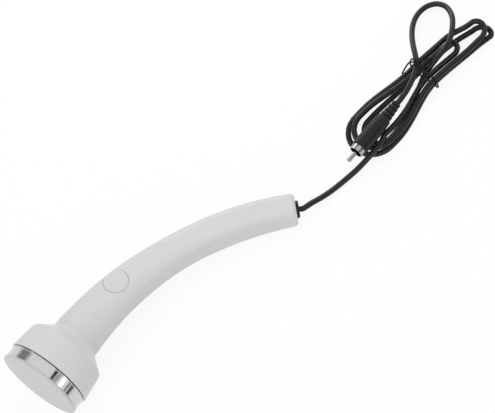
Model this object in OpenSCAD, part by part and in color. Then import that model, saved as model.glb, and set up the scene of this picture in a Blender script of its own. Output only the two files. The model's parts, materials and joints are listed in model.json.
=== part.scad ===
// Handheld wand massager: a curved grip with a wide treatment head, one push button and a tied signal lead.
// Millimetres, +Z up. The wand lies on the surface Z = 0 as it comes to rest, with its length along +X.

/* [Treatment head] */
// Outer diameter of the head at its rim
head_d = 60; // [56:0.5:68]
// Distance from the rim of the head to the seam at the grip
head_l = 32; // [30:0.2:35]
// Narrowing of the head's diameter from its rim to its shoulder
shoulder_in = 4.4; // [4:0.2:8]
// Distance that the bezel and the face stand out of the housing
face_out = 10; // [8:0.2:12]
// Thickness of the face plate where it shows
face_t = 1.4; // [1.2:0.1:2.4]
// Wall of the head housing
head_wall = 2.6; // [2.4:0.1:3]
// Diameter of the piezo disc behind the face
piezo_d = 25; // [16:0.5:40]

/* [Grip] */
// Length of the grip along its centre line
grip_l = 175; // [160:1:200]
// Radius of the bend of the grip
bend_r = 217; // [190:1:260]
// Diameter of the neck
neck_d = 33.8; // [32:0.2:36]
// Width of the grip at the button
thumb_w = 27; // [25:0.2:30]
// Depth of the grip at the button
thumb_t = 26.4; // [26:0.2:29]
// Width and depth of the grip at its end
end_w = 19.2; // [18.6:0.2:22]
// Wall of the grip shells
grip_wall = 2; // [1.6:0.1:2.4]

/* [Button] */
// Diameter of the button cap
button_d = 17.4; // [15:0.2:18]
// Distance that the button travels
button_travel = 0.6; // [0.4:0.1:0.8]
// Angle of the button toward the outside of the bend
button_turn = 10; // [0:1:14]

/* [Lead and plug] */
// Diameter of the lead
lead_d = 4; // [3.6:0.1:4.2]
// Diameter of the plug barrel
barrel_d = 12; // [11:0.5:13]
// Length of the plug barrel
barrel_l = 28; // [24:1:32]
// Diameter of the contact pin
pin_d = 3.2; // [3:0.1:3.4]
// Length of the contact pin in front of the shield
pin_out = 8.3; // [5:0.1:9]

/* [Hidden] */
$fn = 64;

slip = 0.1; // clearance of parts that fit into each other
run = 0.3; // clearance of parts that move past each other
tiny = 0.05; // overlap of solids that are joined

// The centre line: x = 0 at the treatment face, straight through the head, then an arc toward -y.
// The button is on the +z side. Places along it are given by s, the distance from the face.
straight_l = face_out + head_l;
wand_l = straight_l + grip_l;
function turn_at(s) = s < straight_l ? 0 : (s - straight_l) / bend_r * 180 / PI;
function centre_at(s) = s < straight_l ? [s, 0, 0]
    : [straight_l + bend_r * sin(turn_at(s)), bend_r * (cos(turn_at(s)) - 1), 0];
// a point of the cross-section at s, v across the bend plane's width and w along its depth
function on_wand(s, v, w) = centre_at(s) + [v * sin(turn_at(s)), v * cos(turn_at(s)), w];

module at(s) {
    translate(centre_at(s)) rotate([0, 0, -turn_at(s)]) children();
}

// stands children on the centre line with their z along the wand
module along(s) {
    at(s) rotate([0, 90, 0]) children();
}

// sweeps a flat shape along the bend from s0 to s1, its x toward the outside of the bend and its y up
module bend_sweep(s0, s1) {
    translate([straight_l, -bend_r, 0]) rotate([0, 0, 90 - turn_at(s1)])
        rotate_extrude(angle = turn_at(s1) - turn_at(s0), $fn = 180)
            translate([bend_r, 0]) children();
}

// The grip's section: width, depth and corner radius at five stations, with smooth curves between them
stations = [for (u = [0, 0.25, 0.5, 0.74, 1]) straight_l + u * grip_l];
widths = [neck_d, thumb_w, thumb_w - 0.7 * (thumb_w - end_w), thumb_w - 0.86 * (thumb_w - end_w), end_w];
depths = [neck_d, thumb_t, thumb_t - 0.52 * (thumb_t - end_w), thumb_t - 0.65 * (thumb_t - end_w), end_w];
corners = [neck_d / 2, 10, 6.5, 5.5, 5];

function slope(xs, ys, i) =
    let (a = max(i - 1, 0), b = min(i + 1, len(xs) - 1)) (ys[b] - ys[a]) / (xs[b] - xs[a]);
function span(xs, x, i = 0) = i < len(xs) - 2 && x > xs[i + 1] ? span(xs, x, i + 1) : i;
function curve(xs, ys, x) =
    let (
        i = span(xs, x), h = xs[i + 1] - xs[i], u = min(max((x - xs[i]) / h, 0), 1),
        a = ys[i], b = ys[i + 1], ma = slope(xs, ys, i) * h, mb = slope(xs, ys, i + 1) * h
    ) a + u * ma + u * u * (3 * (b - a) - 2 * ma - mb) + u * u * u * (2 * (a - b) + ma + mb);

end_round = 3; // rounding of the grip's end
function end_inset(s) = let (u = max(0, s - (wand_l - end_round)) / end_round)
    end_round * (1 - sqrt(max(0, 1 - u * u)));
// half width, half depth and corner radius at s, drawn in by inset
function section_at(s, inset) =
    let (
        d = inset + end_inset(s),
        w = curve(stations, widths, s) / 2 - d, t = curve(stations, depths, s) / 2 - d,
        r = min(w, t, curve(stations, corners, s) - d)
    ) [w, t, max(r, 1)];
corner_steps = 9;
function ring_at(s, inset) = let (q = section_at(s, inset)) [
    for (quarter = [0:3], step = [0:corner_steps - 1])
        let (
            angle = 90 * (quarter + (step + 0.5) / corner_steps),
            side_v = (quarter == 0 || quarter == 3) ? 1 : -1, side_w = quarter < 2 ? 1 : -1
        )
        on_wand(s, side_v * (q[0] - q[2]) + q[2] * cos(angle), side_w * (q[1] - q[2]) + q[2] * sin(angle))
];

// skins a list of rings that all have the same number of points
module skin(rings) {
    n = len(rings[0]);
    last = len(rings) - 1;
    points = [for (ring = rings) each ring];
    sides = [
        for (i = [0:last - 1], j = [0:n - 1]) let (k = (j + 1) % n)
            each [[i * n + k, i * n + j, i * n + n + j], [i * n + n + k, i * n + k, i * n + n + j]]
    ];
    caps = [[for (j = [0:n - 1]) j], [for (j = [n - 1:-1:0]) last * n + j]];
    polyhedron(points, concat(sides, caps), convexity = 6);
}

grip_steps = 22;
grip_places = concat(
    [for (i = [0:grip_steps]) straight_l + i / grip_steps * (grip_l - end_round)],
    [for (a = [25:20:85]) wand_l - end_round + end_round * sin(a)], [wand_l]
);
module grip_form(inset = 0) {
    skin([for (s = grip_places) ring_at(s, inset)]);
}

// Head housing
rim_x = face_out;
rim_r = head_d / 2;
shoulder_d = head_d - shoulder_in;
shoulder_x = rim_x + 0.6 * head_l;
neck_x = rim_x + 0.86 * head_l;
shoulder_round = 4;
neck_round = 5;
mouth_r = rim_r - head_wall; // bore of the housing at its mouth
spigot_r = 12.5; // tube that joins the head to the grip
spigot_bore_r = 9.5;
spigot_l = 8;
groove_r = spigot_r - 1.2;
groove_w = 2;
groove_x = straight_l + 3;
bezel_l = 10; // length of the bezel inside the housing
clip_x = rim_x + 6.4; // snap ring
clip_w = 1.2;
clip_r = mouth_r - 1.2;
clip_t = 2;

// the two corners of an outline are rounded: arc of n + 1 points between directions a0 and a1
function arc(cx, cy, r, a0, a1, n = 8) =
    [for (i = [0:n]) let (a = a0 + (a1 - a0) * i / n) [cx + r * cos(a), cy + r * sin(a)]];
// arc that rounds the corner b of the path a, b, c
function fillet(a, b, c, r, n = 8) =
    let (
        u = (a - b) / norm(a - b), v = (c - b) / norm(c - b), half = acos(u * v) / 2,
        m = b + (u + v) / norm(u + v) * r / sin(half),
        p = b + u * r / tan(half) - m, q = b + v * r / tan(half) - m,
        a0 = atan2(p[1], p[0]), a1 = atan2(q[1], q[0]),
        turn = a1 - a0 > 180 ? a1 - a0 - 360 : (a1 - a0 < -180 ? a1 - a0 + 360 : a1 - a0)
    ) arc(m[0], m[1], r, a0, a0 + turn, n);

// turns an outline of [radius, x] points about the head's axis
module turned(outline) {
    rotate([0, 90, 0]) rotate_extrude($fn = 96) polygon(outline);
}

module bored(r, x0, x1) {
    translate([x0, 0, 0]) rotate([0, 90, 0]) cylinder(r = r, h = x1 - x0);
}

module head_housing() {
    rim = [rim_r, rim_x];
    shoulder = [shoulder_d / 2, shoulder_x];
    neck = [neck_d / 2, neck_x];
    seam = [neck_d / 2, straight_l];
    inside_shoulder = [shoulder_d / 2 - head_wall, shoulder_x - head_wall / 2];
    inside_neck = [spigot_bore_r, neck_x + 0.8];
    color("gainsboro") lay() difference() {
        turned(concat(
            [[mouth_r, rim_x]], arc(rim_r - 0.6, rim_x + 0.6, 0.6, -90, 0, 3),
            fillet(rim, shoulder, neck, shoulder_round), fillet(shoulder, neck, seam, neck_round),
            [seam, [spigot_r, straight_l], [spigot_r, straight_l + spigot_l],
                [spigot_bore_r, straight_l + spigot_l], inside_neck],
            fillet(inside_neck, inside_shoulder, [mouth_r, rim_x], shoulder_round - head_wall / 2)
        ));
        bored(mouth_r, rim_x - 1, rim_x + bezel_l + slip);
        turned([[groove_r, groove_x], [spigot_r + 1, groove_x], [spigot_r + 1, groove_x + groove_w],
            [groove_r, groove_x + groove_w]]);
        turned([[mouth_r - 2, clip_x - slip], [clip_r + clip_t + slip, clip_x - slip],
            [clip_r + clip_t + slip, clip_x + clip_w + slip], [mouth_r - 2, clip_x + clip_w + slip]]);
    }
}

// Bezel, face and what they carry
bezel_r = rim_r - 1;
bezel_spigot_r = mouth_r - slip;
bezel_bore_r = bezel_spigot_r - 2.4;
gasket_t = 0.8;
face_r = rim_r - 0.7;
face_spigot_l = 3;
piezo_t = 2.2;

module chrome_bezel() {
    front = face_t;
    back = rim_x - gasket_t;
    color("silver") lay() difference() {
        turned(concat(
            [[bezel_bore_r, front]], arc(bezel_r - 0.4, front + 0.4, 0.4, -90, 0, 3),
            [[bezel_r, back], [bezel_spigot_r, back], [bezel_spigot_r, rim_x + bezel_l],
                [bezel_bore_r, rim_x + bezel_l]]
        ));
        turned([[clip_r - slip, clip_x - slip], [clip_r + 4, clip_x - slip],
            [clip_r + 4, clip_x + clip_w + slip], [clip_r - slip, clip_x + clip_w + slip]]);
    }
}

module face_plate() {
    edge = 1;
    color("lightgray") lay() turned(concat(
        [[0, 0]], arc(face_r - edge, edge, edge, -90, 0, 6),
        [[face_r, face_t], [bezel_bore_r - slip, face_t], [bezel_bore_r - slip, face_t + face_spigot_l],
            [0, face_t + face_spigot_l]]
    ));
}

module head_gasket() {
    color("black") lay() turned([[mouth_r, rim_x - gasket_t], [rim_r - 0.4, rim_x - gasket_t],
        [rim_r - 0.4, rim_x], [mouth_r, rim_x]]);
}

module snap_ring() {
    opening = 30; // gap of the ring in degrees
    color("dimgray") lay() translate([clip_x, 0, 0]) rotate([0, 90, 0])
        rotate_extrude(angle = 360 - opening, $fn = 96)
            translate([clip_r, 0]) square([clip_t, clip_w]);
}

module piezo_disc() {
    color("tan") lay() bored(piezo_d / 2, face_t + face_spigot_l, face_t + face_spigot_l + piezo_t);
}

// Button, switch and board stand on an axis that is turned about the centre line
button_s = straight_l + 0.24 * grip_l;
module at_button() {
    at(button_s) rotate([-button_turn, 0, 0]) children();
}
button_r = button_d / 2;
collar_r = button_r + run + 2;
collar_z = 7.4; // lower face of the collar round the button
flange_r = button_r + 1.5;
flange_t = 1.2;
flange_z = collar_z - run - flange_t;
cap_proud = 0.3;
cap_wall = 1.8;
board_z = -3; // underside of the switch board
board_t = 1.6;
board_l = 26;
board_w = 11;
switch_w = 6;
switch_h = 3.8;
plunger_r = 1.75;
switch_z = board_z + board_t;
plunger_z = switch_z + switch_h + 2.2; // top of the plunger, where the cap's stem sits
plunger_in = 1.2; // depth of the plunger inside the switch
post_x = board_l / 2 - 3; // board posts from the button's axis
post_r = 2.4;
board_screw_r = 1;
board_screw_l = 6;

module button_cap() {
    color("whitesmoke") lay() difference() {
        union() {
            intersection() {
                at_button() translate([0, 0, flange_z]) cylinder(r = button_r, h = 14);
                grip_form(-cap_proud);
            }
            at_button() translate([0, 0, flange_z]) cylinder(r = flange_r, h = flange_t);
            at_button() translate([0, 0, plunger_z]) cylinder(r = 2.4, h = flange_z - plunger_z + tiny);
        }
        at_button() translate([0, 0, flange_z - tiny]) difference() {
            cylinder(r = button_r - cap_wall, h = collar_z - flange_z + 1);
            cylinder(r = 2.4, h = collar_z - flange_z + 1);
        }
    }
}

module switch_plunger() {
    z = switch_z + switch_h - plunger_in;
    color("dimgray") lay() at_button() translate([0, 0, z]) cylinder(r = plunger_r, h = plunger_z - z);
}

module switch_body() {
    depth = plunger_in + button_travel + 0.3;
    color("darkgray") lay() at_button() difference() {
        translate([-switch_w / 2, -switch_w / 2, switch_z]) cube([switch_w, switch_w, switch_h]);
        translate([0, 0, switch_z + switch_h - depth]) cylinder(r = plunger_r + 0.15, h = depth + 1);
    }
}

module switch_board() {
    color("darkgreen") lay() at_button() difference() {
        translate([-board_l / 2, -board_w / 2, board_z]) cube([board_l, board_w, board_t]);
        for (x = [-post_x, post_x])
            translate([x, 0, board_z - 1]) cylinder(r = board_screw_r + 0.2, h = board_t + 2);
    }
}

module screw(shaft_r, shaft_l, head_r, head_t) {
    // the head's underside is at z = 0 and the shaft points down
    translate([0, 0, -shaft_l]) cylinder(r = shaft_r, h = shaft_l + tiny);
    cylinder(r = head_r, h = head_t);
}

module board_screws() {
    color("silver") lay() at_button() for (x = [-post_x, post_x])
        translate([x, 0, switch_z]) screw(board_screw_r, board_screw_l, 1.9, 1.2);
}

// Screws that close the shells
screw_places = [0.09, 0.42, 0.72]; // shares of the grip's length
screw_v = 4.6; // offset toward the outside of the bend
screw_r = 1.3;
screw_seat = 4; // depth of the head's seat below the parting plane
screw_l = 10;
boss_r = 3.2;
function screw_s(share) = straight_l + share * grip_l;

module at_screws() {
    for (share = screw_places) at(screw_s(share)) translate([0, screw_v, 0]) children();
}

module shell_screws() {
    color("silver") lay() at_screws() translate([0, 0, -screw_seat]) rotate([180, 0, 0])
        screw(screw_r, screw_l, 2.3, 1.6);
}

// Cable gland and clamp at the end
gland_r = 6;
gland_out = 2;
gland_neck_r = 4;
gland_bore_r = lead_d / 2 + 0.2;
end_wall = 2.4;
clamp_in = 20; // clamp from the grip's end
clamp_s = wand_l - clamp_in;
clamp_v = lead_d / 2 + 3.5; // clamp screws from the centre line
clamp_l = 5;
clamp_t = lead_d / 2 + 1.6;
clamp_post_r = 2;
clamp_screw_in = 5; // reach of the clamp's screws below the parting plane
lead_past = 12; // lead that goes on past the clamp
lead_end_s = clamp_s - lead_past;
lead_lap = 0.5; // overlap of a straight stretch and a bent one

module cable_gland() {
    inner = end_wall + 2;
    color("black") lay() along(wand_l) difference() {
        union() {
            cylinder(r = gland_r, h = gland_out);
            translate([0, 0, -inner]) cylinder(r = gland_neck_r, h = inner + tiny);
            translate([0, 0, -inner]) cylinder(r = gland_r - 0.6, h = inner - end_wall - slip);
        }
        translate([0, 0, -inner - 1]) cylinder(r = gland_bore_r, h = inner + gland_out + 2);
    }
}

module cord_clamp() {
    color("dimgray") lay() at(clamp_s) difference() {
        translate([-clamp_l / 2, -clamp_v - clamp_post_r, 0])
            cube([clamp_l, 2 * (clamp_v + clamp_post_r), clamp_t]);
        translate([-clamp_l, 0, 0]) rotate([0, 90, 0]) cylinder(r = lead_d / 2 + slip, h = 2 * clamp_l);
        for (v = [-clamp_v, clamp_v]) translate([0, v, -1]) cylinder(r = 1.2, h = clamp_t + 2);
    }
}

module clamp_screws() {
    color("silver") lay() at(clamp_s) for (v = [-clamp_v, clamp_v])
        translate([0, v, clamp_t]) screw(1, clamp_t + clamp_screw_in, 1.9, 1.2);
}

module inner_lead() {
    color("black") lay() {
        bend_sweep(lead_end_s, wand_l - end_round) circle(r = lead_d / 2);
        along(wand_l) translate([0, 0, -end_round - lead_lap])
            cylinder(r = lead_d / 2 - tiny, h = end_round + lead_lap + gland_out);
    }
}

// Wires inside the wand
wire_r = 0.6;
wire_vs = [-1.9, -0.5];
wire_end_x = post_x + 2.1; // the wires end beside the heads of the board's screws

module lead_wire(v) {
    lay() bend_sweep(button_s + wire_end_x, lead_end_s) translate([v, 0]) circle(r = wire_r, $fn = 24);
}

module head_wire(v) {
    lay() {
        bend_sweep(straight_l, button_s - wire_end_x) translate([v, 0]) circle(r = wire_r, $fn = 24);
        translate([0, v, 0]) rotate([0, 90, 0]) translate([0, 0, face_t + face_spigot_l + piezo_t])
            cylinder(r = wire_r - tiny, h = straight_l - face_t - face_spigot_l - piezo_t + lead_lap, $fn = 24);
    }
}

module head_signal_wire() { color("red") head_wire(wire_vs[0]); }
module head_ground_wire() { color("black") head_wire(wire_vs[1]); }
module lead_signal_wire() { color("red") lead_wire(wire_vs[0]); }
module lead_ground_wire() { color("black") lead_wire(wire_vs[1]); }

// Grip shells: the grip's form is hollowed round the bosses and split at the bend plane
module grip_hollow() {
    hollow_places = [for (s = grip_places)
        min(max(s, straight_l + spigot_l), wand_l - end_wall)];
    kept = [for (i = [0:len(hollow_places) - 1])
        if (i == 0 || hollow_places[i] > hollow_places[i - 1]) hollow_places[i]];
    skin([for (s = kept) ring_at(s, grip_wall)]);
}

module shell_cuts() {
    // spigot of the head, with the rib that fills its groove
    difference() {
        bored(spigot_r + slip, straight_l - 1, straight_l + spigot_l + tiny);
        turned([[groove_r + slip, groove_x + slip], [spigot_r + 2, groove_x + slip],
            [spigot_r + 2, groove_x + groove_w - slip], [groove_r + slip, groove_x + groove_w - slip]]);
    }
    along(wand_l) translate([0, 0, -end_wall - 1]) cylinder(r = gland_neck_r + slip, h = end_wall + 2);
}

big = 600;
module front_shell() {
    color("whitesmoke") lay() difference() {
        grip_form();
        difference() {
            grip_hollow();
            at_screws() cylinder(r = boss_r, h = big);
            at_button() translate([0, 0, collar_z]) cylinder(r = collar_r, h = 20);
        }
        shell_cuts();
        at_screws() translate([0, 0, -1]) cylinder(r = screw_r, h = screw_l - screw_seat + 1.4);
        at_button() translate([0, 0, 4]) cylinder(r = button_r + run, h = 20);
        at_button() translate([0, 0, 4]) cylinder(r = flange_r + run, h = collar_z - 4);
        translate([-big / 2, -big / 2, -big]) cube(big);
    }
}

module rear_shell() {
    color("whitesmoke") lay() difference() {
        grip_form();
        difference() {
            grip_hollow();
            at_screws() translate([0, 0, -big]) cylinder(r = boss_r + 1, h = big);
            at_button() for (x = [-post_x, post_x])
                translate([x, 0, board_z - big]) cylinder(r = post_r, h = big);
            at(clamp_s) for (v = [-clamp_v, clamp_v])
                translate([0, v, -big]) cylinder(r = clamp_post_r, h = big);
            at(clamp_s) translate([-clamp_l / 2, -lead_d / 2, -big]) cube([clamp_l, lead_d, big]);
        }
        shell_cuts();
        at_screws() translate([0, 0, -screw_seat - tiny]) cylinder(r = screw_r + 0.15, h = big);
        at_screws() translate([0, 0, -big]) cylinder(r = 2.6, h = big - screw_seat);
        at_button() for (x = [-post_x, post_x])
            translate([x, 0, board_z + board_t - board_screw_l - 0.6])
                    cylinder(r = board_screw_r, h = board_screw_l + switch_h);
        at(clamp_s) for (v = [-clamp_v, clamp_v])
            translate([0, v, -clamp_screw_in - 0.2]) cylinder(r = 1, h = clamp_screw_in + 1);
        bend_sweep(clamp_s - clamp_l, clamp_s + clamp_l) circle(r = lead_d / 2 + slip);
        translate([-big / 2, -big / 2, 0]) cube(big);
    }
}

// How the wand lies: on its back, touching at the rim and shoulder of the head and at the end of the grip,
// with its chord along +X and the middle of its box over the origin
chord_turn = atan2(-centre_at(wand_l)[1], centre_at(wand_l)[0]);
chord_l = norm(centre_at(wand_l));
end_turn = turn_at(wand_l) - chord_turn;
lay_pitch = atan2(rim_r - end_w / 2 - 0.2, chord_l - end_round - rim_x * cos(chord_turn));
lay_lift = rim_x * cos(chord_turn) * sin(lay_pitch)
    + rim_r * sqrt(1 - pow(sin(lay_pitch) * cos(chord_turn), 2));
lay_x = -(chord_l + gland_out * cos(end_turn) + gland_r * sin(end_turn) - face_r * sin(chord_turn)) / 2 + 0.6;
lay_y = -(shoulder_x * sin(chord_turn) + shoulder_d / 2 * cos(chord_turn) - face_r * cos(chord_turn)) / 2 - 1;
module lay() {
    translate([lay_x, lay_y, lay_lift]) rotate([0, lay_pitch, 0]) rotate([0, 0, chord_turn]) children();
}
// the same placing for a point of the wand
function turned_z(p, a) = [p[0] * cos(a) - p[1] * sin(a), p[0] * sin(a) + p[1] * cos(a), p[2]];
function turned_y(p, a) = [p[0] * cos(a) + p[2] * sin(a), p[1], p[2] * cos(a) - p[0] * sin(a)];
function laid(p) = turned_y(turned_z(p, chord_turn), lay_pitch) + [lay_x, lay_y, lay_lift];

// The lead. Its free stretches follow points, and its hank winds about a frame of its own:
// x along the hank from the lobe near the wand, y to its left, and z up from the surface.
hank_at = [236, 19, 0];
hank_turn = 9;
function from_hank(p) = turned_z(p, hank_turn) + hank_at;
lead_r = lead_d / 2;
free_sides = 8;
hank_sides = 6;

gland_face = laid(centre_at(wand_l) + gland_out * [cos(turn_at(wand_l)), -sin(turn_at(wand_l)), 0]);
gland_way = laid(centre_at(wand_l) + [cos(turn_at(wand_l)), -sin(turn_at(wand_l)), 0])
    - laid(centre_at(wand_l));

// sweeps a round tube of the given radius along points; its ends may be given directions
function way(points, i) =
    let (a = points[max(i - 1, 0)], b = points[min(i + 1, len(points) - 1)]) (b - a) / norm(b - a);
function tube_ring(p, t, r, sides, up) =
    let (side = cross(up, t) / norm(cross(up, t)), top = cross(t, side)) [
        for (k = [0:sides - 1]) let (a = 360 * (k + 0.5) / sides) p + r * cos(a) * side + r * sin(a) * top
    ];
module tube(points, r, sides, up = [0, 0, 1], first_way = undef, last_way = undef) {
    last = len(points) - 1;
    skin([
        for (i = [0:last])
            let (t = i == 0 && first_way != undef ? first_way
                : (i == last && last_way != undef ? last_way : way(points, i)))
            tube_ring(points[i], t, r, sides, up)
    ]);
}

// Hank: one tube winds out on the upper layer and back in on the lower one.
// t counts turns; a turn is a run to the far lobe, its fold, a run back and the near lobe's fold.
// A pair [a, b] is a size that grows with the nest q, counted from the inside: a + b q.
hank_turns = 3.1;
hank_steps = 24; // rings in a turn
run_share = 0.3; // share of a turn in each run
fold_share = 0.2; // share of a turn in each fold
turn_back = 1.65; // turn at which the winding goes down to the lower layer
nest_out = 1.9;
layer_step = lead_d + 0.65;
near_reach = [47, 4]; // from the waist to the middles of the folds
far_reach = [13, 21];
far_even = 30; // the far lobe draws in from here, over this length
far_draw = 19;
near_right = [9.8, 4.8]; // sides of the lobes and of the waist
near_left = [1.8, 8.8];
waist_right = [0.6, 4.8];
waist_left = [2.2, 4.7];
far_right = [0.9, 3.8];
far_left = [4.4, 1.4];
far_bow = 0.0013; // sideways bow of the far lobe, and more of it on the lower layer
low_bow = 0.0010;
low_reach = 13; // how much further the lower layer's far fold reaches
high_near = 2.4; // how far the upper layer's near lobe stands out to the left
near_sink = 0.4; // how far the upper layer sinks between the folds below it
sink_from = 40;
sink_l = 15;
first_rise = 3.4; // how high the first run starts over the near folds
tie_d = 1.2;
tie_lift_l = 26;
function ease(u) = let (v = min(max(u, 0), 1)) v * v * (3 - 2 * v);
function size(pair, q) = pair[0] + pair[1] * q;
function nest(t) = nest_out - abs(t - turn_back);
function low(t) = ease((t - turn_back + 0.15) / 0.3);
function near_x(t) = -size(near_reach, nest(t));
function far_x(t) = size(far_reach, nest(t)) + low_reach * low(t);
function side(t, x, waist, near, far) =
    let (
        q = nest(t), fold = size(x < 0 ? near : far, q),
        share = x < 0 ? -x / near_reach[0] : (x - far_even) / far_draw
    ) size(waist, q) + (fold - size(waist, q)) * ease(share);
function bow(t, x) = -(far_bow + low_bow * low(t)) * pow(max(x, 0), 2);
function right_y(t, x) = bow(t, x) - side(t, x, waist_right, near_right, far_right);
function left_y(t, x) = bow(t, x) + side(t, x, waist_left, near_left, far_left)
    + high_near * (1 - low(t)) * ease(-x / near_reach[0]);
function fold_point(t, x, way, a) =
    let (r = (left_y(t, x) - right_y(t, x)) / 2, y = (left_y(t, x) + right_y(t, x)) / 2)
    [x + way * r * sin(a), y - way * r * cos(a)];
function hank_plan(t) =
    let (u = t - floor(t), near = near_x(t), far = far_x(t), half = run_share + fold_share)
    u < run_share ? let (x = near + (far - near) * u / run_share) [x, right_y(t, x)]
    : u < half ? fold_point(t, far, 1, 180 * (u - run_share) / fold_share)
    : u < half + run_share ? let (x = far - (far - near) * (u - half) / run_share) [x, left_y(t, x)]
    : fold_point(t, near, -1, 180 * (u - half - run_share) / fold_share);
function hank_height(t, x) =
    lead_r + 0.1 + (layer_step - near_sink * ease((-x - sink_from) / sink_l)) * (1 - low(t))
    + first_rise * (1 - ease(t / 0.12))
    + (tie_d + 0.4) * (1 - ease(abs(x) / tie_lift_l));
function hank_point(t) = let (p = hank_plan(t)) from_hank([p[0], p[1], hank_height(t, p[0])]);

hank_middle = [for (i = [0:floor(hank_turns * hank_steps)]) hank_point(i / hank_steps)];
hank_first_way = from_hank([1, 0, 0]) - hank_at;
hank_first = hank_middle[0] - lead_d * hank_first_way;
hank_last_way = way(hank_middle, len(hank_middle) - 1);
hank_last = hank_middle[len(hank_middle) - 1] + lead_d * hank_last_way;
hank_points = concat([hank_first], hank_middle, [hank_last]);

// least gap of the hank to itself, measured between points at thirds of its segments
function thirds(points) = [
    for (i = [0:len(points) - 2], k = [0:2]) points[i] + (points[i + 1] - points[i]) * k / 3
];
hank_samples = thirds(hank_points);
hank_gap = min([
    for (i = [0:len(hank_samples) - 1], j = [i + 9:1:len(hank_samples) - 1])
        norm(hank_samples[i] - hank_samples[j])
]) - lead_d;

lead_points = concat([gland_face, gland_face + 3 * gland_way], [
    [118, -7.2, 7.8], [126, -7, 5], [134.5, -6.5, 2.8], [143, -6, 2.2], [151, -5.8, 2.8],
    [158, -6, 4.8], [164.5, -6.1, 7.8], [170, -5.8, 9.8], [175.5, -4.9, 11], [181, -3.2, 10.6]
], [hank_first]);

plug_at = [206.3, 11.4, 14.2]; // where the lead enters the boot
plug_turn = 195.5;
plug_rise = 4;
plug_way = [cos(plug_turn) * cos(plug_rise), sin(plug_turn) * cos(plug_rise), sin(plug_rise)];
tail_points = concat([hank_last], [
    for (p = [
        [-12, -2.8, 3.2], [-6.5, -0.9, 3.9], [-1, 0.9, 5.2], [4.5, 1.6, 7], [10, 1.7, 9], [15.5, 1.6, 10.9],
        [21, 1.6, 12.1], [27, 2.8, 12.4], [33, 5.8, 12.2], [38.5, 9.8, 11.4], [43.5, 14.6, 10],
        [47, 20.4, 8.2], [48.6, 27, 6.4], [46.6, 33.2, 5.2], [41.5, 37.2, 4.6], [35, 38.3, 4.6],
        [28, 36.6, 5.4], [21.4, 32.6, 6.8], [15.4, 27, 8.6], [10.4, 21, 10.4], [6, 14.8, 12],
        [1.6, 9.4, 13], [-3.6, 5.2, 13.4], [-9.4, 2.2, 13.8], [-15.4, 0, 13.9], [-20.6, -1.4, 13.8]
    ]) from_hank(p)
], [plug_at - lead_d * plug_way, plug_at]);

module cord_lead() {
    color("dimgray") tube(lead_points, lead_r, free_sides, first_way = gland_way, last_way = hank_first_way);
}

module cord_hank() {
    echo(hank_gap = hank_gap);
    color("dimgray") tube(hank_points, lead_r, hank_sides, first_way = hank_first_way,
        last_way = hank_last_way);
}

module cord_tail() {
    color("dimgray") tube(tail_points, lead_r, free_sides, first_way = hank_last_way, last_way = plug_way);
}

// Wire tie round the hank's waist, wound a little over once, with its two ends left long
tie_points = [
    for (p = [
        [-11, 11.4, 11.2], [-7, 12.2, 12.4], [-3.2, 12.4, 13.8], [-1.2, 11, 15.4], [-0.8, 8, 16.4],
        [-0.5, 4.4, 15.8], [-0.2, 0.4, 14.3], [0.2, -3.6, 13], [0.5, -7.7, 11.7], [0.6, -10.2, 9.8],
        [0.6, -10.6, 6.2], [0.6, -10.8, 2.3], [0.5, -9.7, 0.76], [0.3, -5, 0.7], [0, -1, 0.7],
        [-0.2, 3, 0.7], [-0.4, 7, 0.7], [-0.5, 10.8, 1.2], [-0.4, 13.6, 3.4], [0, 14.3, 6.6],
        [0.3, 14.2, 9.6], [0.5, 13.6, 12.2], [0.6, 12.8, 14.6], [1, 10.8, 16.2], [2, 7.6, 16.5],
        [3.8, 5.4, 15.6], [7, 4.4, 14.8], [10, 3.2, 14.4], [13.2, 1.8, 14.4]
    ]) from_hank(p)
];
module cord_tie() {
    color("black") tube(tie_points, tie_d / 2, hank_sides, up = [0.3, 0.1, 0.2]);
}

// Phono plug, from the lead's end in the boot to the tip of the pin
boot_l = 14;
boot_small_r = 3.1;
boot_large_r = 4.2;
boot_ribs = 4;
barrel_r = barrel_d / 2;
barrel_end_r = barrel_r - 1;
barrel_round = 1.2;
shield_r = 4.9;
shield_t = 0.7;
shield_out = 4.2;
shield_in = 4;
insulator_l = 2.5;
pin_r = pin_d / 2;
pin_root_r = pin_r - 0.4; // the pin is thinner in its insulator
module at_plug(x = 0) {
    translate(plug_at) rotate([0, 0, plug_turn]) rotate([0, 90 - plug_rise, 0]) translate([0, 0, x]) children();
}

module plug_boot() {
    step = boot_l / boot_ribs;
    groove = 1.1;
    color("dimgray") at_plug() for (i = [0:boot_ribs - 1]) {
        r = boot_small_r + (boot_large_r - boot_small_r) * i / (boot_ribs - 1);
        translate([0, 0, i * step]) cylinder(r = r, h = step - groove);
        translate([0, 0, (i + 1) * step - groove - tiny]) cylinder(r = r - 0.8, h = groove + tiny);
    }
}

module plug_barrel() {
    color("dimgray") at_plug(boot_l) difference() {
        rotate_extrude() polygon(concat(
            [[0, 0]], arc(barrel_end_r - barrel_round, barrel_round, barrel_round, -90, 0, 5),
            [[barrel_r, barrel_l * 0.3]],
            arc(barrel_r - 0.5, barrel_l - 0.5, 0.5, 0, 90, 3), [[0, barrel_l]]
        ));
        translate([0, 0, barrel_l - shield_in]) cylinder(r = shield_r, h = shield_in + 1);
    }
}

module plug_shield() {
    color("silver") at_plug(boot_l + barrel_l - shield_in) difference() {
        cylinder(r = shield_r, h = shield_in + shield_out);
        translate([0, 0, -1]) cylinder(r = shield_r - shield_t, h = shield_in + shield_out + 2);
    }
}

module plug_insulator() {
    color("black") at_plug(boot_l + barrel_l - shield_in) difference() {
        cylinder(r = shield_r - shield_t, h = insulator_l);
        translate([0, 0, -1]) cylinder(r = pin_root_r, h = insulator_l + 2);
    }
}

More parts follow.
